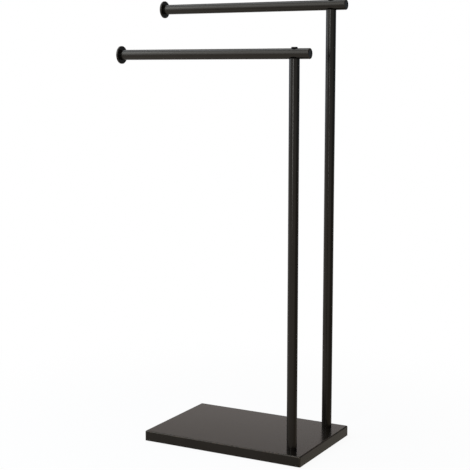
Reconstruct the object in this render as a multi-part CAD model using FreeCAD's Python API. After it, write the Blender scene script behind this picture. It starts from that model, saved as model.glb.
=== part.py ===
import FreeCAD, Part
import math
import os

# Freestanding towel stand. A weighted rectangular base stands on four rubber feet. Two round
# posts of unequal height rise near its right-hand end. Each post carries one long round arm,
# which lies across the post's head in a milled saddle and is held there by one screw.
#
# Millimetres. +Z is up, +X runs along the arms to the right, and -Y is the front.
# The origin is on the floor, under the middle of the whole stand.
#
# The joint between arm and post takes the most skill. The post's head is turned with a long
# rounded shoulder, which is then cut by the arm's own cylinder, so the seat rises round the
# arm in an arch at the front and back and falls away under it at the sides. The screw
# passes a spot face, the arm's wall, a solid insert and the wall again before it reaches
# the thread in the head.

# ---- Driving dimensions ------------------------------------------------------------------

# Layout
base_width = 333.0
base_depth = 219.0
base_height = 19.5
ground_clearance = 1.5
post_spacing = 156.0
post_from_right_edge = 32.0
arm_reach_left = 367.0
arm_reach_right = 31.0
front_arm_height = 743.0
back_arm_height = 834.5

# Round tube of the posts and arms
tube_diameter = 19.05
tube_wall = 1.5

# Base shell, folded from sheet with mitred corners
sheet_thickness = 1.5
bend_radius = 1.5

# Ballast plate, which fills the shell and closes it from below
weight_height = 14.5
weight_side_gap = 1.0

# Rubber feet, stuck under the ballast
foot_diameter = 20.0
foot_from_edge = 15.0

# Bolt that holds a post on the base, and its spring washer
post_bolt_diameter = 8.0
post_bolt_length = 25.0
post_bolt_clearance = 9.0
post_bolt_head_flats = 13.0
post_bolt_head_height = 5.3
spring_washer_diameter = 14.8
spring_washer_bore = 8.2
spring_washer_thickness = 2.0
spring_washer_split = 1.0
counterbore_diameter = 20.0
counterbore_depth = 9.5
foot_plug_length = 20.0

# Head of a post, with the saddle for the arm
shoulder_radius = 25.0
shoulder_drop = 7.0
head_length = 30.0

# Screw that holds an arm on its post
arm_screw_diameter = 6.0
arm_screw_length = 30.0
arm_screw_clearance = 6.6
arm_screw_head_diameter = 11.4
arm_screw_head_height = 3.2
arm_screw_head_chamfer = 0.7
arm_screw_socket_flats = 4.0
arm_screw_socket_depth = 2.0
spot_face_diameter = 12.0
spot_face_depth = 0.9
arm_insert_length = 26.0

# Disc at an arm's left end, and plug in its right end
disc_diameter = 33.5
disc_thickness = 4.0
disc_chamfer = 0.8
disc_spigot_length = 14.0
end_plug_length = 10.0
end_plug_recess = 0.5

# ---- Places worked out from them ---------------------------------------------------------

ORIGIN = FreeCAD.Vector(0, 0, 0)
UP = FreeCAD.Vector(0, 0, 1)
DOWN = FreeCAD.Vector(0, 0, -1)
RIGHT = FreeCAD.Vector(1, 0, 0)
LEFT = FreeCAD.Vector(-1, 0, 0)
FULL_TURN = 360.0
HEXAGON_SIDES = 6

tube_radius = tube_diameter / 2
bore_radius = tube_radius - tube_wall

right_edge = (arm_reach_left + post_from_right_edge) / 2
post_x = right_edge - post_from_right_edge
base_x = right_edge - base_width / 2
arm_left_end = post_x - arm_reach_left
arm_right_end = post_x + arm_reach_right

base_top = ground_clearance + base_height
weight_top = base_top - sheet_thickness
weight_bottom = weight_top - weight_height
washer_top = weight_bottom + counterbore_depth
bolt_seat = washer_top - spring_washer_thickness

# Each post by its name, its place from front to back and the height of its arm's axis
posts = {
    "front": (-post_spacing / 2, front_arm_height),
    "back": (post_spacing / 2, back_arm_height),
}

# Each foot by its name and the sides of the base that it stands at
foot_sides = {
    "foot_front_left": (-1, -1),
    "foot_front_right": (1, -1),
    "foot_back_left": (-1, 1),
    "foot_back_right": (1, 1),
}


# ---- Forms that several pieces share -----------------------------------------------------

def slab(width, depth, bottom, top):
    """Block under the middle of the base, between two heights."""
    corner = FreeCAD.Vector(base_x - width / 2, -depth / 2, bottom)
    return Part.makeBox(width, depth, top - bottom, corner)


def drilled(shape, diameter, depth, mouth, direction):
    """The shape with a round hole in it."""
    return shape.cut(Part.makeCylinder(diameter / 2, depth, mouth, direction))


def rim(shape, radius, height):
    """The round edges of an upright turned shape at one radius and height."""
    tolerance = 0.001
    found = []
    for edge in shape.Edges:
        if not isinstance(edge.Curve, Part.Circle):
            continue
        same_radius = abs(edge.Curve.Radius - radius) < tolerance
        same_height = abs(edge.Curve.Center.z - height) < tolerance
        if same_radius and same_height:
            found.append(edge)
    return found


def hexagon(flats, height):
    """Upright hexagonal prism on the origin, from its width across flats."""
    corner_radius = flats / 2 / math.cos(math.pi / HEXAGON_SIDES)
    corners = []
    for number in range(HEXAGON_SIDES + 1):
        angle = 2 * math.pi * number / HEXAGON_SIDES
        corners.append(FreeCAD.Vector(corner_radius * math.cos(angle), corner_radius * math.sin(angle), 0))
    return Part.Face(Part.makePolygon(corners)).extrude(UP * height)


def placed(shape, position, direction=UP):
    """The shape moved to its place, with its own +Z along a direction."""
    moved = shape.copy()
    moved.Placement = FreeCAD.Placement(position, FreeCAD.Rotation(UP, direction))
    return moved


# ---- Base --------------------------------------------------------------------------------

def make_base_shell():
    """Tray folded from sheet, open below, with a bolt hole under each post."""
    outer = slab(base_width, base_depth, ground_clearance, base_top)
    bends = [edge for edge in outer.Edges if edge.BoundBox.ZMin > base_top - bend_radius]
    outer = outer.makeFillet(bend_radius, bends)
    inner_width = base_width - 2 * sheet_thickness
    inner_depth = base_depth - 2 * sheet_thickness
    shell = outer.cut(slab(inner_width, inner_depth, ground_clearance, weight_top))
    for y, arm_height in posts.values():
        mouth = FreeCAD.Vector(post_x, y, weight_top)
        shell = drilled(shell, post_bolt_clearance, sheet_thickness, mouth, UP)
    return shell


def make_base_weight():
    """Ballast plate, drilled and counterbored from below for the bolts."""
    margin = 2 * (sheet_thickness + weight_side_gap)
    weight = slab(base_width - margin, base_depth - margin, weight_bottom, weight_top)
    for y, arm_height in posts.values():
        mouth = FreeCAD.Vector(post_x, y, weight_bottom)
        weight = drilled(weight, counterbore_diameter, counterbore_depth, mouth, UP)
        weight = drilled(weight, post_bolt_clearance, weight_height, mouth, UP)
    return weight


def make_foot(side_x, side_y):
    """Round rubber pad near one corner of the base."""
    x = base_x + side_x * (base_width / 2 - foot_from_edge)
    y = side_y * (base_depth / 2 - foot_from_edge)
    return Part.makeCylinder(foot_diameter / 2, weight_bottom, FreeCAD.Vector(x, y, 0))


# ---- Posts -------------------------------------------------------------------------------

def shoulder_point(rise):
    """Point on the head's rounded shoulder, from its rise above the shoulder's start."""
    inset = shoulder_radius - math.sqrt(shoulder_radius ** 2 - rise ** 2)
    return FreeCAD.Vector(tube_radius - inset, 0, rise - tube_radius - shoulder_drop)


def make_head_blank():
    """Head as it is turned, with its origin on the arm's axis."""
    full_rise = tube_radius + shoulder_drop
    start = shoulder_point(0)
    top = shoulder_point(full_rise)
    straight = Part.makePolygon([
        top,
        FreeCAD.Vector(0, 0, top.z),
        FreeCAD.Vector(0, 0, start.z),
        start,
    ])
    shoulder = Part.Arc(start, shoulder_point(full_rise / 2), top).toShape()
    outline = Part.Wire(straight.Edges + [shoulder])
    return Part.Face(outline).revolve(ORIGIN, UP, FULL_TURN)


def make_post(arm_height):
    """Tube on the origin with its head welded in and ground flush, and the saddle milled."""
    axis_height = arm_height - base_top
    shoulder_start = axis_height - tube_radius - shoulder_drop
    bore_length = axis_height - head_length
    tube = Part.makeCylinder(tube_radius, shoulder_start)
    post = tube.fuse(placed(make_head_blank(), UP * axis_height)).removeSplitter()
    post = post.cut(Part.makeCylinder(bore_radius, bore_length))
    arm_start = UP * axis_height + LEFT * tube_radius
    post = post.cut(Part.makeCylinder(tube_radius, tube_diameter, arm_start, RIGHT))
    return drilled(post, arm_screw_diameter, head_length, UP * axis_height, DOWN)


def make_foot_plug():
    """Plug in the post's lower end, tapped for the bolt."""
    plug = Part.makeCylinder(bore_radius, foot_plug_length)
    return drilled(plug, post_bolt_diameter, foot_plug_length, ORIGIN, UP)


def make_post_bolt():
    """Hexagon bolt with the seat under its head on the origin and its shank upwards."""
    head = hexagon(post_bolt_head_flats, post_bolt_head_height)
    head.translate(DOWN * post_bolt_head_height)
    shank = Part.makeCylinder(post_bolt_diameter / 2, post_bolt_length)
    return head.fuse(shank).removeSplitter()


def make_spring_washer():
    """Split ring on the origin, pressed flat."""
    ring = Part.makeCylinder(spring_washer_diameter / 2, spring_washer_thickness)
    ring = drilled(ring, spring_washer_bore, spring_washer_thickness, ORIGIN, UP)
    corner = FreeCAD.Vector(0, -spring_washer_split / 2, 0)
    split = Part.makeBox(spring_washer_diameter, spring_washer_split, spring_washer_thickness, corner)
    return ring.cut(split)


# ---- Arms, each made along +X with its origin on the post's axis -------------------------

def make_arm_tube():
    """Arm from its disc to its open right end, spot-faced and drilled for the screw."""
    start = RIGHT * (disc_thickness - arm_reach_left)
    length = arm_reach_left - disc_thickness + arm_reach_right
    tube = Part.makeCylinder(tube_radius, length, start, RIGHT)
    tube = tube.cut(Part.makeCylinder(bore_radius, length, start, RIGHT))
    crown = UP * tube_radius
    tube = drilled(tube, spot_face_diameter, spot_face_depth, crown, DOWN)
    return drilled(tube, arm_screw_clearance, tube_diameter, crown, DOWN)


def make_arm_insert():
    """Solid piece in the arm's bore, drilled crosswise for the screw."""
    start = LEFT * (arm_insert_length / 2)
    insert = Part.makeCylinder(bore_radius, arm_insert_length, start, RIGHT)
    return drilled(insert, arm_screw_clearance, tube_diameter, UP * tube_radius, DOWN)


def make_arm_screw():
    """Low-headed socket screw with the seat under its head on the origin."""
    head_radius = arm_screw_head_diameter / 2
    head = Part.makeCylinder(head_radius, arm_screw_head_height)
    head = head.makeChamfer(arm_screw_head_chamfer, rim(head, head_radius, arm_screw_head_height))
    socket = hexagon(arm_screw_socket_flats, arm_screw_socket_depth)
    socket.translate(UP * (arm_screw_head_height - arm_screw_socket_depth))
    shank = Part.makeCylinder(arm_screw_diameter / 2, arm_screw_length, ORIGIN, DOWN)
    return head.cut(socket).fuse(shank).removeSplitter()


def make_end_disc():
    """Stop disc with broken edges, and the spigot below it that is pressed into the arm."""
    radius = disc_diameter / 2
    disc = Part.makeCylinder(radius, disc_thickness)
    disc = disc.makeChamfer(disc_chamfer, rim(disc, radius, 0) + rim(disc, radius, disc_thickness))
    spigot = Part.makeCylinder(bore_radius, disc_spigot_length, ORIGIN, DOWN)
    return disc.fuse(spigot).removeSplitter()


def make_end_plug():
    """Plug that closes the arm's right end, just inside the tube's edge."""
    return Part.makeCylinder(bore_radius, end_plug_length)


# ---- Assembly ----------------------------------------------------------------------------

def base_nodes():
    """The base's pieces by name."""
    nodes = {
        "base_shell": make_base_shell(),
        "base_weight": make_base_weight(),
    }
    for name, (side_x, side_y) in foot_sides.items():
        nodes[name] = make_foot(side_x, side_y)
    return nodes


def post_nodes(name, y, arm_height):
    """One post and its plug by name."""
    on_base = FreeCAD.Vector(post_x, y, base_top)
    return {
        name + "_post": placed(make_post(arm_height), on_base),
        name + "_post_foot_plug": placed(make_foot_plug(), on_base),
    }


def arm_nodes(name, y, arm_height):
    """One arm's pieces by name."""
    on_post = FreeCAD.Vector(post_x, y, arm_height)
    disc_seat = FreeCAD.Vector(arm_left_end + disc_thickness, y, arm_height)
    plug_start = FreeCAD.Vector(arm_right_end - end_plug_recess - end_plug_length, y, arm_height)
    return {
        name + "_arm_tube": placed(make_arm_tube(), on_post),
        name + "_arm_insert": placed(make_arm_insert(), on_post),
        name + "_arm_disc": placed(make_end_disc(), disc_seat, LEFT),
        name + "_arm_end_plug": placed(make_end_plug(), plug_start, RIGHT),
    }


def fastener_nodes():
    """The fasteners of both posts, each kind in one group of separate pieces."""
    bolts = []
    washers = []
    screws = []
    for y, arm_height in posts.values():
        seat = FreeCAD.Vector(post_x, y, bolt_seat)
        bolts.append(placed(make_post_bolt(), seat))
        washers.append(placed(make_spring_washer(), seat))
        screw_seat = FreeCAD.Vector(post_x, y, arm_height + tube_radius - spot_face_depth)
        screws.append(placed(make_arm_screw(), screw_seat))
    return {
        "post_bolts": Part.makeCompound(bolts),
        "post_spring_washers": Part.makeCompound(washers),
        "arm_screws": Part.makeCompound(screws),
    }


all_nodes = base_nodes()
for post_name, (post_y, height) in posts.items():
    all_nodes.update(post_nodes(post_name, post_y, height))
    all_nodes.update(arm_nodes(post_name, post_y, height))
all_nodes.update(fastener_nodes())

os.makedirs("parts", exist_ok=True)
for node_name, shape in all_nodes.items():
    shape.exportStep("parts/" + node_name + ".step")
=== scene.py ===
import math

import bmesh
import bpy
from mathutils import Matrix, Vector


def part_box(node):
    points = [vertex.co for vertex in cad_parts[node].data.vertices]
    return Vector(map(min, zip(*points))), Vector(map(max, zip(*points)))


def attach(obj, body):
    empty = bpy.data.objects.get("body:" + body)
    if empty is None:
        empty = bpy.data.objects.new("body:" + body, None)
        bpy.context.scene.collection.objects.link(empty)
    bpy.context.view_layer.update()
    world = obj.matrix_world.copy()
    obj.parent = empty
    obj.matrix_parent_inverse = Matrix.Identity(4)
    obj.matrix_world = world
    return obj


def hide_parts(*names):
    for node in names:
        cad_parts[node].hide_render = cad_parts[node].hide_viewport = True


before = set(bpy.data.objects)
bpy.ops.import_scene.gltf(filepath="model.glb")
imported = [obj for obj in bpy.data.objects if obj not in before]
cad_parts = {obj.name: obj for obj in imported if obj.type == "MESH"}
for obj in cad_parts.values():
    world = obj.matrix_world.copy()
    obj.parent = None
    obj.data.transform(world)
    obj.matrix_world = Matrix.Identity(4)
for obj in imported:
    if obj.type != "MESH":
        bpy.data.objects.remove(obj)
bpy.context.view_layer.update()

# ---- Base tray ---------------------------------------------------------------------------
# The visible base: a tray folded from 1.5 mm sheet steel, open below, with rolled upper
# edges and mitred, welded corners ground to the same radius. Coated dark bronze, semi-gloss,
# and a little worn along the rolls and corners.

SHEET = 0.0015
ROLL = 0.0024
ROLL_STEPS = 8
SHARP_CORNER = math.radians(57)
SMOOTH_BEND = math.radians(40)
MERGE_WITHIN = 1e-7
FACING_DOWN = -0.5

COAT_IOR = 1.5
COAT_TINT = (1.0, 0.87, 0.72, 1)
RUBBED_COAT = (0.030, 0.021, 0.014, 1)
CLOUDS = 22.0
RUBS = 260.0
RUBBED_WHERE = (0.42, 0.62)
FIRST_COLOUR, SECOND_COLOUR, MIXED_COLOUR = 6, 7, 2


def middle_of(low, high):
    """Middle of a box."""
    return (low + high) / 2


def blocked(low, high):
    """A rectangular block between two corners."""
    size = high - low
    place = Matrix.Translation(middle_of(low, high)) @ Matrix.Diagonal((*size, 1.0))
    bm = bmesh.new()
    bmesh.ops.create_cube(bm, size=1.0, matrix=place)
    return bm


def sharp_edges(bm, wanted=lambda point: True):
    """The edges where faces meet at a sharp corner and both ends are wanted."""
    return [edge for edge in bm.edges if edge.calc_face_angle(0.0) > SHARP_CORNER
            and all(wanted(vert.co) for vert in edge.verts)]


def eased(bm, edges, width, steps):
    """Rounds the edges over a width. Only these faces are smooth until the piece is finished."""
    rounds = bmesh.ops.bevel(bm, geom=edges, offset=width, offset_type="OFFSET", affect="EDGES",
                             segments=steps, profile=0.5, material=-1, clamp_overlap=True)
    for face in rounds["faces"]:
        face.smooth = True


def finished(bm, name, material, slot, *stands_for):
    """Turns a mesh into a piece that rides with the stand, smooth except at its sharp edges."""
    bmesh.ops.remove_doubles(bm, verts=bm.verts, dist=MERGE_WITHIN)
    bmesh.ops.recalc_face_normals(bm, faces=bm.faces)
    rounded_edge = bm.verts.layers.float.new("rounded_edge")
    for vert in bm.verts:
        vert[rounded_edge] = float(all(face.smooth for face in vert.link_faces))
    for face in bm.faces:
        face.smooth = True
    for edge in bm.edges:
        edge.smooth = edge.calc_face_angle(0.0) < SMOOTH_BEND
    mesh = bpy.data.meshes.new(name)
    bm.to_mesh(mesh)
    bm.free()
    mesh.materials.append(material)
    piece = bpy.data.objects.new(name, mesh)
    bpy.context.scene.collection.objects.link(piece)
    flat_stays_flat = piece.modifiers.new("flat_stays_flat", "WEIGHTED_NORMAL")
    flat_stays_flat.keep_sharp = True
    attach(piece, "root")
    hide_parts(*stands_for)


def fresh_material(name):
    """A new material with its nodes, its wiring, its shader and the place on the object."""
    material = bpy.data.materials.new(name)
    material.use_nodes = True
    nodes = material.node_tree.nodes
    place = nodes.new("ShaderNodeTexCoord").outputs["Object"]
    return material, nodes, material.node_tree.links.new, nodes["Principled BSDF"], place


def stretched(nodes, wire, place, pitch):
    """The place, multiplied by a pitch on each axis."""
    stretch = nodes.new("ShaderNodeMapping")
    stretch.inputs["Scale"].default_value = pitch
    wire(place, stretch.inputs["Vector"])
    return stretch.outputs["Vector"]


def noise(nodes, wire, place, pitch, detail):
    """An irregular pattern of a given pitch."""
    pattern = nodes.new("ShaderNodeTexNoise")
    pattern.inputs["Scale"].default_value = pitch
    pattern.inputs["Detail"].default_value = detail
    wire(place, pattern.inputs["Vector"])
    return pattern.outputs["Fac"]


def two_toned(nodes, wire, pattern, where, tones):
    """A colour that goes from one tone to another where the pattern lies between two values."""
    ramp = nodes.new("ShaderNodeValToRGB")
    for stop, position, tone in zip(ramp.color_ramp.elements, where, tones):
        stop.position = position
        stop.color = (*tone, 1)
    wire(pattern, ramp.inputs["Fac"])
    return ramp.outputs["Color"]


def ranged(nodes, wire, value, source=(0.0, 1.0), result=(0.0, 1.0)):
    """A node that brings a value from one range into another."""
    spread = nodes.new("ShaderNodeMapRange")
    spread.inputs["From Min"].default_value, spread.inputs["From Max"].default_value = source
    spread.inputs["To Min"].default_value, spread.inputs["To Max"].default_value = result
    wire(value, spread.inputs["Value"])
    return spread


def mixed(nodes, wire, share, first, second):
    """The first colour where the share is 0 and the second where it is 1."""
    mix = nodes.new("ShaderNodeMix")
    mix.data_type = "RGBA"
    wire(share, mix.inputs["Factor"])
    for colour, socket in ((first, mix.inputs[FIRST_COLOUR]), (second, mix.inputs[SECOND_COLOUR])):
        if isinstance(colour, bpy.types.NodeSocket):
            wire(colour, socket)
        else:
            socket.default_value = colour
    return mix.outputs[MIXED_COLOUR]


def embossed(nodes, wire, pattern, depth, surface):
    """Gives the surface a relief of a given depth."""
    relief = nodes.new("ShaderNodeBump")
    relief.inputs["Distance"].default_value = depth
    wire(pattern, relief.inputs["Height"])
    wire(relief.outputs["Normal"], surface.inputs["Normal"])


def coated(name, dark, light, shine, roughness, grain, grain_depth):
    """Dark bronze coat: cloudy colour, uneven gloss, grain of a given pitch, edges rubbed paler."""
    material, nodes, wire, surface, place = fresh_material(name)
    surface.inputs["IOR"].default_value = COAT_IOR
    surface.inputs["Specular IOR Level"].default_value = shine
    surface.inputs["Specular Tint"].default_value = COAT_TINT

    clouds = noise(nodes, wire, place, CLOUDS, detail=4.0)
    tint = two_toned(nodes, wire, clouds, where=(0.3, 0.7), tones=(dark, light))
    rounded_edge = nodes.new("ShaderNodeAttribute")
    rounded_edge.attribute_name = "rounded_edge"
    rubs = noise(nodes, wire, place, RUBS, detail=5.0)
    rubbed = ranged(nodes, wire, rubs, source=RUBBED_WHERE)
    wire(rounded_edge.outputs["Fac"], rubbed.inputs["To Max"])
    coat_or_rubbed = mixed(nodes, wire, rubbed.outputs["Result"], tint, RUBBED_COAT)
    wire(coat_or_rubbed, surface.inputs["Base Color"])

    strokes = noise(nodes, wire, stretched(nodes, wire, place, grain), pitch=1.0, detail=6.0)
    gloss = ranged(nodes, wire, strokes, source=(0.3, 0.7), result=roughness)
    wire(gloss.outputs["Result"], surface.inputs["Roughness"])
    embossed(nodes, wire, strokes, grain_depth, surface)
    return material


base_low, base_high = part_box("base_shell")
wall = Vector((SHEET, SHEET, 0))
sheet_above = Vector((0, 0, SHEET))
tray = blocked(base_low, base_high)
inside = blocked(base_low + wall, base_high - wall - sheet_above)
for shape in (tray, inside):
    underside = [face for face in shape.faces if face.normal.z < FACING_DOWN]
    bmesh.ops.delete(shape, geom=underside, context="FACES_ONLY")
bmesh.ops.reverse_faces(inside, faces=inside.faces)
eased(tray, sharp_edges(tray), ROLL, ROLL_STEPS)
lining = bpy.data.meshes.new("tray_lining")
inside.to_mesh(lining)
inside.free()
tray.from_mesh(lining)
open_edges = [edge for edge in tray.edges if edge.is_boundary]
bmesh.ops.bridge_loops(tray, edges=open_edges)
base_coat = coated("bronze_coat_base", dark=(0.0045, 0.0036, 0.0029),
                   light=(0.0075, 0.0060, 0.0048), shine=0.31, roughness=(0.20, 0.26),
                   grain=(700, 700, 700), grain_depth=0.000002)
finished(tray, "base_tray", base_coat, "bronze_base", "base_shell")

# ---- Ballast -----------------------------------------------------------------------------
# Cast-iron plate that fills the tray and closes it from below. Rough from the sand mould,
# with a thin grey primer, and held by the two post bolts.

PRIMER_TONES = ((0.10, 0.10, 0.105), (0.20, 0.20, 0.205))
SAND_GRAINS = 420.0
SAND_DEPTH = 0.0003


def dressed(node_name, material):
    """Gives a solid that the scene keeps as it is a material of its own."""
    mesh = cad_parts[node_name].data
    mesh.materials.clear()
    mesh.materials.append(material)


ballast_iron, nodes, wire, surface, place = fresh_material("cast_ballast_iron")
surface.inputs["Metallic"].default_value = 0.3
sand = noise(nodes, wire, place, SAND_GRAINS, detail=8.0)
primer = two_toned(nodes, wire, sand, where=(0.35, 0.65), tones=PRIMER_TONES)
wire(primer, surface.inputs["Base Color"])
iron_gloss = ranged(nodes, wire, sand, result=(0.55, 0.8))
wire(iron_gloss.outputs["Result"], surface.inputs["Roughness"])
embossed(nodes, wire, sand, SAND_DEPTH, surface)
dressed("base_weight", ballast_iron)

# ---- Feet --------------------------------------------------------------------------------
# Four round pads of black moulded rubber, stuck under the ballast, with a fine matte skin
# and dust that settles in patches.

RUBBER_TONES = ((0.022, 0.022, 0.022), (0.045, 0.044, 0.042))
SKIN_GRAINS = 1800.0
SKIN_DEPTH = 0.00005
DUST_PATCHES = 160.0

rubber, nodes, wire, surface, place = fresh_material("foot_black_rubber")
surface.inputs["Specular IOR Level"].default_value = 0.35
skin = noise(nodes, wire, place, SKIN_GRAINS, detail=3.0)
dust = noise(nodes, wire, place, DUST_PATCHES, detail=2.0)
dusty = two_toned(nodes, wire, dust, where=(0.4, 0.75), tones=RUBBER_TONES)
wire(dusty, surface.inputs["Base Color"])
rubber_gloss = ranged(nodes, wire, dust, result=(0.6, 0.85))
wire(rubber_gloss.outputs["Result"], surface.inputs["Roughness"])
embossed(nodes, wire, skin, SKIN_DEPTH, surface)
for corner in ("front_left", "front_right", "back_left", "back_right"):
    dressed("foot_" + corner, rubber)

# ---- Hidden steel parts ------------------------------------------------------------------
# Bolts and split washers in bright zinc, which pull the posts down from below, and the
# turned steel plugs and inserts inside the tubes, left bare with their lathe marks.

MARK_DEPTH = 0.00002
IN_THE_MARKS = (0.80, 0.80, 0.82)
BETWEEN_MARKS = (1.00, 1.00, 1.02)


def turned_steel(name, tone, roughness, marks):
    """Bare or plated steel with fine turning marks of a given pitch on each axis."""
    material, nodes, wire, surface, place = fresh_material(name)
    surface.inputs["Metallic"].default_value = 1.0
    scratches = noise(nodes, wire, stretched(nodes, wire, place, marks), pitch=1.0, detail=5.0)
    tones = [tuple(tone * share for share in shares) for shares in (IN_THE_MARKS, BETWEEN_MARKS)]
    shade = two_toned(nodes, wire, scratches, where=(0.3, 0.7), tones=tones)
    wire(shade, surface.inputs["Base Color"])
    gloss = ranged(nodes, wire, scratches, result=roughness)
    wire(gloss.outputs["Result"], surface.inputs["Roughness"])
    embossed(nodes, wire, scratches, MARK_DEPTH, surface)
    return material


zinc = turned_steel("fastener_zinc", tone=0.56, roughness=(0.25, 0.4), marks=(600, 600, 600))
bare_steel = turned_steel("turned_bare_steel", tone=0.42, roughness=(0.3, 0.45),
                          marks=(60, 60, 3000))
dressed("post_bolts", zinc)
dressed("post_spring_washers", zinc)
for side in ("front", "back"):
    dressed(side + "_post_foot_plug", bare_steel)
    dressed(side + "_arm_insert", bare_steel)

# ---- Posts -------------------------------------------------------------------------------
# Drawn steel tube, closed by a turned head that is welded in and ground flush, with a shallow
# seat of the arm's own radius milled across it. Coated satin dark bronze, with fine upright
# streaks.

Z_AXIS = Vector((0, 0, 1))
TUBE_STEPS = 96
SEAT_DEPTH = 0.001
SEAT_GAP = 0.00005
HEAD_EASE = 0.0003
HEAD_EASE_STEPS = 3
HAIR = 1e-6


def chain(*points):
    """Edges from point to point, each given as a radius and a height."""
    bm = bmesh.new()
    verts = [bm.verts.new((radius, 0, height)) for radius, height in points]
    for start, end in zip(verts, verts[1:]):
        bm.edges.new((start, end))
    return bm


def spun(bm):
    """Spins a chain of edges once round the Z axis into a closed surface."""
    bmesh.ops.spin(bm, geom=bm.verts[:] + bm.edges[:], cent=(0, 0, 0), axis=Z_AXIS,
                   angle=math.tau, steps=TUBE_STEPS, use_merge=True)
    bmesh.ops.remove_doubles(bm, verts=bm.verts, dist=MERGE_WITHIN)
    bmesh.ops.recalc_face_normals(bm, faces=bm.faces)
    return bm


def rod(radius, start, end, steps=TUBE_STEPS):
    """A plain closed cylinder between two points."""
    length = (end - start).length
    turn = (end - start).to_track_quat("Z", "Y").to_matrix().to_4x4()
    bm = bmesh.new()
    bmesh.ops.create_cone(bm, cap_ends=True, segments=steps, radius1=radius, radius2=radius,
                          depth=length, matrix=Matrix.Translation(middle_of(start, end)) @ turn)
    return bm


def as_object(bm, name):
    """Puts a mesh in the scene for as long as it is worked on."""
    mesh = bpy.data.meshes.new(name)
    bm.to_mesh(mesh)
    bm.free()
    workpiece = bpy.data.objects.new(name, mesh)
    bpy.context.scene.collection.objects.link(workpiece)
    return workpiece


def milled(bm, cutter):
    """The mesh with the cutter's shape taken out of it."""
    stock = as_object(bm, "stock")
    tool = as_object(cutter, "cutter")
    cut = stock.modifiers.new("cut", "BOOLEAN")
    cut.operation = "DIFFERENCE"
    cut.solver = "EXACT"
    cut.object = tool
    bpy.context.view_layer.update()
    evaluated = stock.evaluated_get(bpy.context.evaluated_depsgraph_get())
    result = bpy.data.meshes.new_from_object(evaluated)
    bpy.data.objects.remove(stock)
    bpy.data.objects.remove(tool)
    left = bmesh.new()
    left.from_mesh(result)
    return left


post_coat = coated("bronze_coat_post", dark=(0.0020, 0.0017, 0.0013),
                   light=(0.0038, 0.0032, 0.0025), shine=0.31, roughness=(0.16, 0.24),
                   grain=(900, 900, 9), grain_depth=0.000003)
for side in ("front", "back"):
    post_low, post_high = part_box(side + "_post")
    arm_low, arm_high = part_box(side + "_arm_tube")
    post_radius = (post_high.x - post_low.x) / 2
    arm_radius = (arm_high.z - arm_low.z) / 2
    axis_height = middle_of(arm_low, arm_high).z
    head_top = axis_height - arm_radius + SEAT_DEPTH

    post = spun(chain((0, post_low.z), (post_radius, post_low.z),
                      (post_radius, head_top), (0, head_top)))
    head_rim = sharp_edges(post, lambda point: point.z > head_top - HAIR)
    eased(post, head_rim, HEAD_EASE, HEAD_EASE_STEPS)
    post_middle = middle_of(post_low, post_high)
    bmesh.ops.translate(post, verts=post.verts, vec=(post_middle.x, post_middle.y, 0))
    axis_point = Vector((post_middle.x, post_middle.y, axis_height))
    reach = Vector((2 * arm_radius, 0, 0))
    cutter = rod(arm_radius - SEAT_GAP, axis_point - reach, axis_point + reach, 2 * TUBE_STEPS)
    finished(milled(post, cutter), side + "_post_finished", post_coat, "bronze_tube",
             side + "_post")

# ---- Arms --------------------------------------------------------------------------------
# Drawn steel tube, laid across the post's head. Its crown is spot-faced for the screw, and
# its right end is cut square and eased. Satin, with the grain along the tube.

TUBE_WALL = 0.0015
END_EASE = 0.0013
END_EASE_STEPS = 5
SPOT_FACE_RADIUS = 0.006
SPOT_FACE_DEPTH = 0.0009
SPOT_FACE_STEPS = 64
PAST_CROWN = 0.002

arm_coat = coated("bronze_coat_arm", dark=(0.0020, 0.0017, 0.0013),
                  light=(0.0038, 0.0032, 0.0025), shine=0.36, roughness=(0.22, 0.30),
                  grain=(9, 900, 900), grain_depth=0.000003)
lying = Matrix.Rotation(math.radians(90), 4, "Y")
for side in ("front", "back"):
    arm_low, arm_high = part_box(side + "_arm_tube")
    arm_middle = middle_of(arm_low, arm_high)
    arm_radius = (arm_high.z - arm_low.z) / 2
    arm_length = arm_high.x - arm_low.x
    arm_start = Vector((arm_low.x, arm_middle.y, arm_middle.z))
    bore = arm_radius - TUBE_WALL
    arm = chain((bore, 0), (arm_radius, 0), (arm_radius, arm_length), (bore, arm_length))
    arm.verts.ensure_lookup_table()
    arm.edges.new((arm.verts[-1], arm.verts[0]))
    spun(arm)
    right_rim = sharp_edges(arm, lambda point: point.xy.length > bore + HAIR and point.z > HAIR)
    eased(arm, right_rim, END_EASE, END_EASE_STEPS)
    bmesh.ops.transform(arm, matrix=Matrix.Translation(arm_start) @ lying, verts=arm.verts)
    post_middle = middle_of(*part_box(side + "_post"))
    crown = Vector((post_middle.x, arm_middle.y, arm_middle.z + arm_radius))
    cutter = rod(SPOT_FACE_RADIUS, crown - Z_AXIS * SPOT_FACE_DEPTH, crown + Z_AXIS * PAST_CROWN,
                 SPOT_FACE_STEPS)
    finished(milled(arm, cutter), side + "_arm_finished", arm_coat, "bronze_tube",
             side + "_arm_tube")

# ---- End discs ---------------------------------------------------------------------------
# Turned steel stops, each with a rounded rim and a spigot pressed into the arm's left end.
# Coated satin dark bronze, a little darker and more evenly than the tubes.

X_AXIS = Vector((1, 0, 0))
DISC_THICKNESS = 0.004
DISC_STEPS = 128
RIM_ROUND = 0.0010
RIM_ROUND_STEPS = 8
RING_GAP = 0.00015

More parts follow.
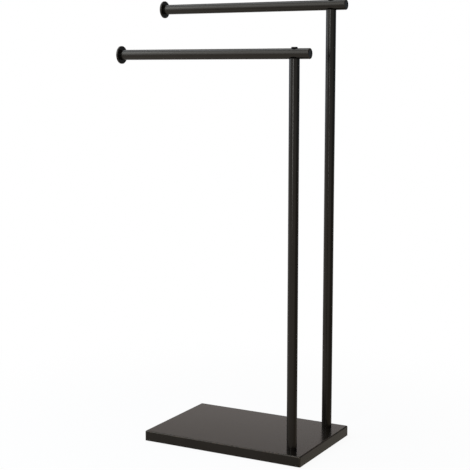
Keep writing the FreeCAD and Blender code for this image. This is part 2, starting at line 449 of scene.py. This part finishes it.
disc_coat = coated("bronze_coat_disc", dark=(0.0020, 0.0017, 0.0013),
                   light=(0.0036, 0.0030, 0.0024), shine=0.31, roughness=(0.22, 0.30),
                   grain=(500, 900, 900), grain_depth=0.000003)
for side in ("front", "back"):
    disc_low, disc_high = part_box(side + "_arm_disc")
    arm_low, arm_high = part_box(side + "_arm_tube")
    disc_middle = middle_of(disc_low, disc_high)
    outer = Vector((disc_low.x, disc_middle.y, disc_middle.z))
    inner = outer + X_AXIS * DISC_THICKNESS
    disc = rod((disc_high.z - disc_low.z) / 2, outer, inner, DISC_STEPS)
    eased(disc, sharp_edges(disc), RIM_ROUND, RIM_ROUND_STEPS)
    spigot_radius = (arm_high.z - arm_low.z) / 2 - TUBE_WALL - RING_GAP
    spigot_end = Vector((disc_high.x, outer.y, outer.z))
    spigot = rod(spigot_radius, inner - X_AXIS * RIM_ROUND, spigot_end)
    spigot_mesh = bpy.data.meshes.new("spigot")
    spigot.to_mesh(spigot_mesh)
    spigot.free()
    disc.from_mesh(spigot_mesh)
    finished(disc, side + "_disc_finished", disc_coat, "bronze_fittings", side + "_arm_disc")

# ---- End plugs ---------------------------------------------------------------------------
# A short turned plug pressed into each arm's right end, a hair inside the tube's edge, so a
# fine dark ring shows round it. Coated like the discs.

PLUG_EASE = 0.0006
PLUG_EASE_STEPS = 3

for side in ("front", "back"):
    plug_low, plug_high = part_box(side + "_arm_end_plug")
    plug_middle = middle_of(plug_low, plug_high)
    plug_start = Vector((plug_low.x, plug_middle.y, plug_middle.z))
    plug_end = Vector((plug_high.x, plug_middle.y, plug_middle.z))
    plug = rod((plug_high.z - plug_low.z) / 2 - RING_GAP, plug_start, plug_end)
    eased(plug, sharp_edges(plug), PLUG_EASE, PLUG_EASE_STEPS)
    finished(plug, side + "_end_plug_finished", disc_coat, "bronze_fittings",
             side + "_arm_end_plug")

# ---- Arm screws --------------------------------------------------------------------------
# Two low-headed socket screws of blackened steel, seated on the arms' spot faces. The head
# is turned with a rounded edge and the hexagon socket is broached into it.

HEAD_RADIUS = 0.0057
HEAD_HEIGHT = 0.0032
HEAD_ROUND = 0.0009
HEAD_ROUND_STEPS = 6
SOCKET_FLATS = 0.004
SOCKET_DEPTH = 0.002
SHANK_RADIUS = 0.003
SHANK_LENGTH = 0.030
SHANK_STEPS = 48
HEXAGON = 6

black_oxide = coated("screw_black_oxide", dark=(0.0015, 0.0015, 0.0016),
                     light=(0.0030, 0.0030, 0.0032), shine=0.08, roughness=(0.35, 0.45),
                     grain=(1500, 1500, 300), grain_depth=0.000003)
socket_radius = SOCKET_FLATS / 2 / math.cos(math.pi / HEXAGON)
screws = bmesh.new()
for side in ("front", "back"):
    arm_low, arm_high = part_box(side + "_arm_tube")
    arm_middle = middle_of(arm_low, arm_high)
    post_middle = middle_of(*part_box(side + "_post"))
    seat = Vector((post_middle.x, arm_middle.y, arm_high.z - SPOT_FACE_DEPTH))
    head_top = seat + Z_AXIS * HEAD_HEIGHT
    head = rod(HEAD_RADIUS, seat, head_top)
    upper_rim = sharp_edges(head, lambda point: point.z > head_top.z - HAIR)
    eased(head, upper_rim, HEAD_ROUND, HEAD_ROUND_STEPS)
    broach = rod(socket_radius, head_top - Z_AXIS * SOCKET_DEPTH,
                 head_top + Z_AXIS * PAST_CROWN, HEXAGON)
    head = milled(head, broach)
    shank = rod(SHANK_RADIUS, seat, seat - Z_AXIS * SHANK_LENGTH, SHANK_STEPS)
    for part in (head, shank):
        part_mesh = bpy.data.meshes.new("screw_part")
        part.to_mesh(part_mesh)
        part.free()
        screws.from_mesh(part_mesh)
finished(screws, "arm_screws_finished", black_oxide, "black_screws", "arm_screws")

# ---- Floor -------------------------------------------------------------------------------
# A plain white matte floor that keeps the stand's shadow. Where the glossy coats mirror it,
# it glows with painted shade instead: darkened near the stand in place of its shadow, darkest
# far behind it, and with painted light again far to the rear left.

FLOOR_HALF = 8.0
FLOOR_WHITE = (0.9, 0.9, 0.9, 1)
WHITE = (1, 1, 1, 1)
SHADOW_AREA = (0.2, 0.9)
WHITE_IN_SHADOW_AREA = 0.93
# Painted shade on the floor, seen only where the coats mirror it: tones along the way behind the
# stand, darkened near the stand in place of its shadow.
FLOOR_MIRRORED_PAINTED_SHADE = {
    -0.50: (0.90, 0.90, 0.90),
    -0.08: (0.56, 0.56, 0.56),
    -0.02: (0.42, 0.39, 0.34),
    0.19: (0.46, 0.43, 0.38),
    0.40: (0.27, 0.25, 0.22),
}
PAINTED_SHADE_SIDE = Vector((0.26, 0.966, 0.0))
REAR_LEFT = Vector((-0.707, 0.707, 0.0))
# Painted light on the mirrored floor, far to the rear left.
PAINTED_LIGHT_REAR_LEFT = (0.8, 1.6)
PAINTED_LIGHT_TONE = 0.8


def larger(nodes, wire, first, second):
    """The larger of two values."""
    bigger = nodes.new("ShaderNodeMath")
    bigger.operation = "MAXIMUM"
    wire(first, bigger.inputs[0])
    wire(second, bigger.inputs[1])
    return bigger.outputs["Value"]


def lighter(nodes, wire, first, second):
    """The lighter of two colours, channel by channel."""
    brighter = nodes.new("ShaderNodeVectorMath")
    brighter.operation = "MAXIMUM"
    wire(first, brighter.inputs[0])
    wire(second, brighter.inputs[1])
    return brighter.outputs["Vector"]


def measured_along(nodes, wire, place, direction):
    """How far the place lies along a direction."""
    distance = nodes.new("ShaderNodeVectorMath")
    distance.operation = "DOT_PRODUCT"
    distance.inputs[1].default_value = direction
    wire(place, distance.inputs[0])
    return distance.outputs["Value"]


def seen_or_mirrored(nodes, wire):
    """The light path, and 1 for what is seen directly, in a glossy coat or through glass."""
    path = nodes.new("ShaderNodeLightPath")
    seen = larger(nodes, wire, path.outputs["Is Camera Ray"], path.outputs["Is Transmission Ray"])
    return path, larger(nodes, wire, seen, path.outputs["Is Glossy Ray"])


def many_toned(nodes, wire, pattern, stops):
    """A colour from a table of tones at their places, in rising order."""
    ramp = nodes.new("ShaderNodeValToRGB")
    places = list(stops)
    for element, position in zip(ramp.color_ramp.elements, (places[0], places[-1])):
        element.position = position
        element.color = (*stops[position], 1)
    for position in places[1:-1]:
        ramp.color_ramp.elements.new(position).color = (*stops[position], 1)
    wire(pattern, ramp.inputs["Fac"])
    return ramp.outputs["Color"]


floor_mesh = bpy.data.meshes.new("studio_floor")
floor_bm = bmesh.new()
bmesh.ops.create_grid(floor_bm, x_segments=1, y_segments=1, size=FLOOR_HALF)
floor_bm.to_mesh(floor_mesh)
floor_bm.free()
floor = bpy.data.objects.new("studio_floor", floor_mesh)
bpy.context.scene.collection.objects.link(floor)

paint, nodes, wire, matte, place = fresh_material("studio_white")
matte.inputs["Base Color"].default_value = FLOOR_WHITE
matte.inputs["Roughness"].default_value = 0.9
matte.inputs["Specular IOR Level"].default_value = 0.0
floor_path, floor_shown = seen_or_mirrored(nodes, wire)
mirrored_here = floor_path.outputs["Is Glossy Ray"]

from_stand = nodes.new("ShaderNodeVectorMath")
from_stand.operation = "LENGTH"
wire(place, from_stand.inputs[0])
whiter_out = ranged(nodes, wire, from_stand.outputs["Value"], source=SHADOW_AREA,
                    result=(WHITE_IN_SHADOW_AREA, 1.0))
whiter_out.interpolation_type = "SMOOTHSTEP"
shown_white = nodes.new("ShaderNodeMath")
shown_white.operation = "MULTIPLY"
wire(floor_shown, shown_white.inputs[0])
wire(whiter_out.outputs["Result"], shown_white.inputs[1])
shown_or_mirrored = larger(nodes, wire, shown_white.outputs["Value"], mirrored_here)

# The floor's painted shade, shown in glossy rays only: darker near and behind the stand.
nearest, farthest = min(FLOOR_MIRRORED_PAINTED_SHADE), max(FLOOR_MIRRORED_PAINTED_SHADE)
depth = farthest - nearest
to_painted_shade_side = measured_along(nodes, wire, place, PAINTED_SHADE_SIDE)
darker = ranged(nodes, wire, to_painted_shade_side, source=(nearest, farthest))
floor_stops = {(along - nearest) / depth: tone for along, tone in FLOOR_MIRRORED_PAINTED_SHADE.items()}
painted_floor_shade = many_toned(nodes, wire, darker.outputs["Result"], floor_stops)
# Painted light on the mirrored floor, far to the rear left, laid over the painted shade.
to_rear_left = measured_along(nodes, wire, place, REAR_LEFT)
painted_light_again = ranged(nodes, wire, to_rear_left, source=PAINTED_LIGHT_REAR_LEFT, result=(0.0, PAINTED_LIGHT_TONE))
painted_shade_or_light = lighter(nodes, wire, painted_floor_shade, painted_light_again.outputs["Result"])

# The floor glows white where it is seen, and with its painted shade and light where it is mirrored.
glow = nodes.new("ShaderNodeEmission")
wire(mixed(nodes, wire, mirrored_here, WHITE, painted_shade_or_light), glow.inputs["Color"])
blend = nodes.new("ShaderNodeMixShader")
wire(shown_or_mirrored, blend.inputs["Fac"])
wire(matte.outputs["BSDF"], blend.inputs[1])
wire(glow.outputs["Emission"], blend.inputs[2])
wire(blend.outputs["Shader"], nodes["Material Output"].inputs["Surface"])
floor_mesh.materials.append(paint)

# ---- Studio ------------------------------------------------------------------------------
# A white backdrop. The glossy coats mirror a studio that is darkest at its right-hand rear
# and, away from its bright side, toned by height. What it throws on the stand itself is only
# a dim, even haze.

HAZE = (0.4, 0.4, 0.4, 1)
BRIGHT_SIDE = Vector((-0.64, -0.77, 0.0))
STUDIO_ROUND = {
    0.00: (0.22, 0.22, 0.22),
    0.18: (0.45, 0.45, 0.45),
    0.28: (1.00, 1.00, 1.00),
    0.36: (0.86, 0.85, 0.83),
    0.68: (0.90, 0.90, 0.90),
    1.00: (1.00, 1.00, 1.00),
}
STUDIO_UP = {
    0.10: (0.76, 0.87, 1.00),
    0.20: (1.00, 0.90, 0.85),
    0.276: (1.00, 0.90, 0.85),
    0.325: (0.10, 0.09, 0.085),
    0.45: (0.50, 0.48, 0.46),
}
OPEN_TOWARDS_LIGHT = (0.38, 0.50)
OPEN_TONE = 0.8

world = bpy.data.worlds.new("studio")
world.use_nodes = True
nodes = world.node_tree.nodes
wire = world.node_tree.links.new
path, shown = seen_or_mirrored(nodes, wire)
way = nodes.new("ShaderNodeTexCoord").outputs["Generated"]
facing_light = measured_along(nodes, wire, way, BRIGHT_SIDE)
towards_light = ranged(nodes, wire, facing_light, source=(-1.0, 1.0))
around = many_toned(nodes, wire, towards_light.outputs["Result"], STUDIO_ROUND)
way_parts = nodes.new("ShaderNodeSeparateXYZ")
wire(way, way_parts.inputs["Vector"])
upwards = many_toned(nodes, wire, way_parts.outputs["Z"], STUDIO_UP)
open_side = ranged(nodes, wire, towards_light.outputs["Result"], source=OPEN_TOWARDS_LIGHT,
                   result=(0.0, OPEN_TONE))
upwards_or_open = lighter(nodes, wire, upwards, open_side.outputs["Result"])
mirrored = nodes.new("ShaderNodeMix")
mirrored.data_type = "RGBA"
mirrored.blend_type = "MULTIPLY"
mirrored.inputs["Factor"].default_value = 1.0
wire(around, mirrored.inputs[FIRST_COLOUR])
wire(upwards_or_open, mirrored.inputs[SECOND_COLOUR])
haze_or_mirrored = mixed(nodes, wire, shown, HAZE, mirrored.outputs[MIXED_COLOUR])
backdrop = mixed(nodes, wire, path.outputs["Is Camera Ray"], haze_or_mirrored, WHITE)
wire(backdrop, nodes["Background"].inputs["Color"])
bpy.context.scene.world = world

# ---- Lamps -------------------------------------------------------------------------------
# A large soft box overhead, a broad panel high up at the left, and two upright strips, at
# the left and in front, that draw the streaks down the posts.

COOL_WHITE = (0.76, 0.88, 1.0)
BETWEEN_ARMS = Vector((0, 0, 0.79))
LEFT_STRIP_HEIGHT = 1.35
FRONT_STRIP_HEIGHT = 1.10


def soft_lamp(name, place, target, width, height, brightness):
    """A rectangular lamp that faces a target, with the brightness of its own surface."""
    lamp = bpy.data.lights.new(name, "AREA")
    lamp.shape = "RECTANGLE"
    lamp.color = COOL_WHITE
    lamp.size = width
    lamp.size_y = height
    lamp.energy = brightness * math.pi * width * height
    holder = bpy.data.objects.new(name, lamp)
    holder.location = place
    holder.rotation_mode = "QUATERNION"
    holder.rotation_quaternion = (target - place).to_track_quat("-Z", "Y")
    holder.visible_camera = False
    bpy.context.scene.collection.objects.link(holder)


posts_x = middle_of(*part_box("front_post")).x
soft_lamp("overhead", Vector((-0.83, 0.15, 2.38)), BETWEEN_ARMS,
          width=1.1, height=1.1, brightness=1.9)
soft_lamp("high_left_panel", Vector((-0.86, -1.38, 1.76)), BETWEEN_ARMS,
          width=1.3, height=1.7, brightness=2.1)
soft_lamp("left_strip", Vector((-1.082, -0.768, LEFT_STRIP_HEIGHT)),
          Vector((posts_x, 0, LEFT_STRIP_HEIGHT)), width=0.5, height=1.5, brightness=3.8)
soft_lamp("front_strip", Vector((0.25, -1.68, FRONT_STRIP_HEIGHT)),
          Vector((posts_x, 0, FRONT_STRIP_HEIGHT)), width=0.28, height=1.5, brightness=8.0)

# ---- Camera ------------------------------------------------------------------------------
# Stands to the right of the stand's front and looks slightly down on it. Its place is given
# from the middle of the base's lower edges, and its focal length for a 36 mm wide sensor.

LENS = 89.96
SENSOR = 36.0
CAMERA_FROM_BASE = Vector((1.04364, -1.96287, 0.71291))
LOOK_LEFT = 0.4994
LOOK_DOWN = 0.1395

view = bpy.data.cameras.new("view")
view.sensor_width = SENSOR
view.lens = LENS
camera = bpy.data.objects.new("view", view)
base_middle = middle_of(base_low, base_high)
camera.location = Vector((base_middle.x, base_middle.y, base_low.z)) + CAMERA_FROM_BASE
camera.rotation_euler = (math.pi / 2 - LOOK_DOWN, 0, LOOK_LEFT)
bpy.context.scene.collection.objects.link(camera)
bpy.context.scene.camera = camera
bpy.context.scene.view_settings.view_transform = "Standard"
